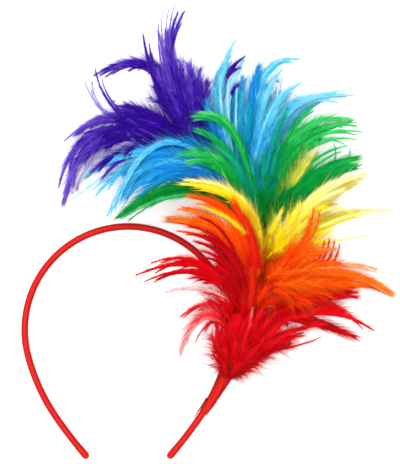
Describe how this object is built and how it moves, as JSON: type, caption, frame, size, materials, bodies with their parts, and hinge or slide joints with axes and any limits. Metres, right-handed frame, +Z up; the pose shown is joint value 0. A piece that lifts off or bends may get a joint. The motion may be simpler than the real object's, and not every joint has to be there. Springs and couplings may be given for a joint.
{
  "type": "feather fascinator headband",
  "caption": "Satin covered alice band with a full feather plume in rainbow tiers bound to one side, lying flat; a costume headpiece for the head.",
  "frame": {"origin": "on the band's flat underside, at the middle of the crown, where the headpiece rests as it lies on its side", "axes": "+Z up from the surface it lies on, +Y out past the crown, away from the band's open tips, +X towards the side that carries the plume"},
  "size_m": [0.2457, 0.2932, 0.051],
  "materials": {
    "band_satin": "satin ribbon cover, smooth with a soft sheen",
    "binding_satin": "wound satin ribbon",
    "quill": "dyed quill, matt",
    "violet_dyed": "dyed feather, fine barbs",
    "blue_dyed": "dyed feather, fine barbs",
    "green_dyed": "dyed feather, fine barbs",
    "yellow_dyed": "dyed feather, fine barbs",
    "orange_dyed": "dyed feather, fine barbs",
    "red_dyed": "dyed feather, fine barbs"
  },
  "bodies": {
    "root": {"headband": "band_satin", "binding": "binding_satin", "plume_stem": "quill", "violet_feathers": "violet_dyed", "blue_feathers": "blue_dyed", "green_feathers": "green_dyed", "yellow_feathers": "yellow_dyed", "orange_feathers": "orange_dyed", "red_feathers": "red_dyed"}
  },
  "joints": []
}
